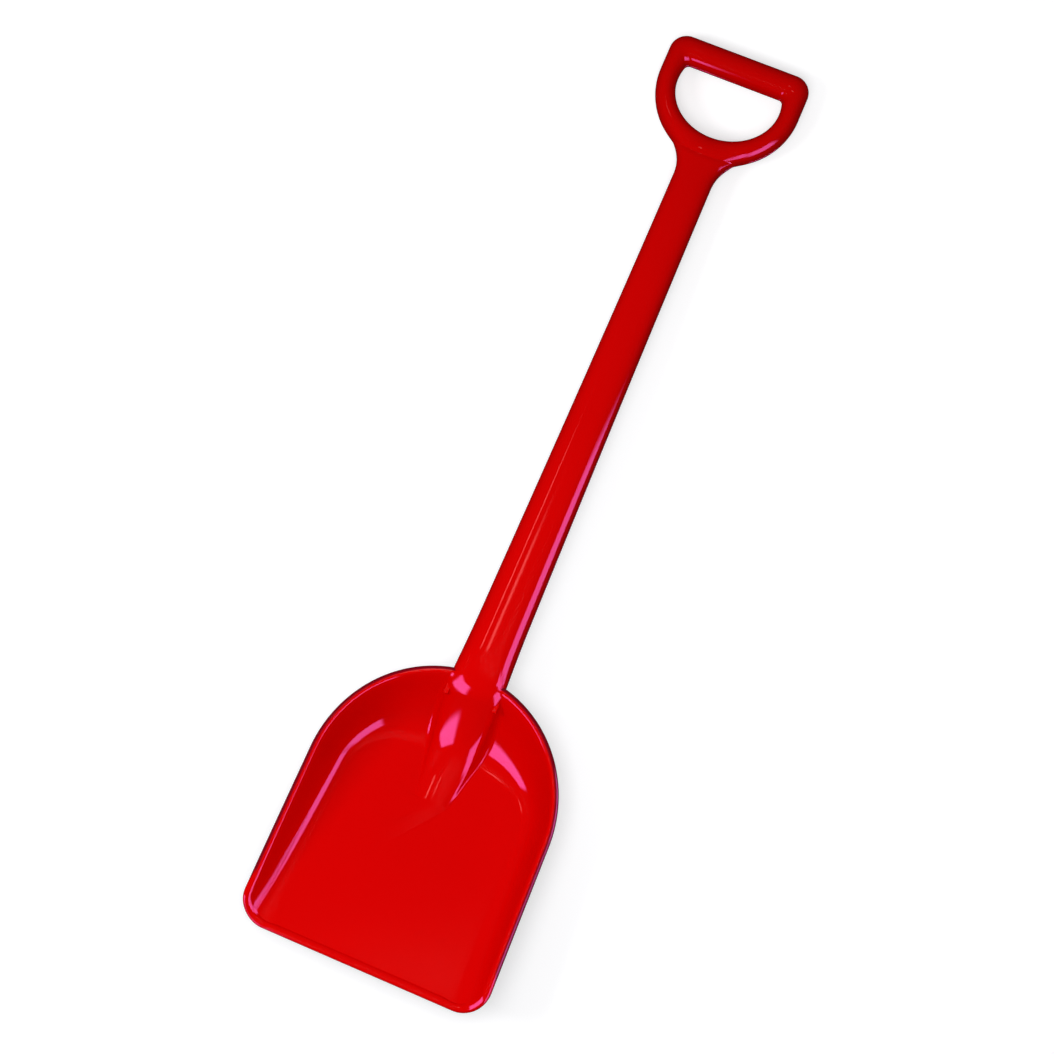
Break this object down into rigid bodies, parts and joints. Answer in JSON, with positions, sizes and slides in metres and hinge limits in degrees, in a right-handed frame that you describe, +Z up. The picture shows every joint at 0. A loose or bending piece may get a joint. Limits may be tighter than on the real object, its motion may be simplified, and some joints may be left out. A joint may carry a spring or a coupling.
{
  "type": "sand shovel",
  "caption": "Child's sand shovel with a deep rimmed scoop, a tapering hollow shaft and a D-shaped hand grip.",
  "frame": {"origin": "on the ground under the middle of the shovel, as it lies on its heel and the back of its grip with the scoop open upwards", "axes": "+Z up out of the scoop, +Y from the digging edge towards the hand grip, +X to the right seen from the grip"},
  "size_m": [0.142, 0.5496, 0.0391],
  "materials": {
    "front_shell": "glossy injection-moulded red plastic",
    "shaft_cover": "glossy injection-moulded red plastic",
    "handle_cover": "glossy injection-moulded red plastic"
  },
  "bodies": {
    "root": {"front_shell": "front_shell", "shaft_cover": "shaft_cover", "handle_cover": "handle_cover"}
  },
  "joints": []
}
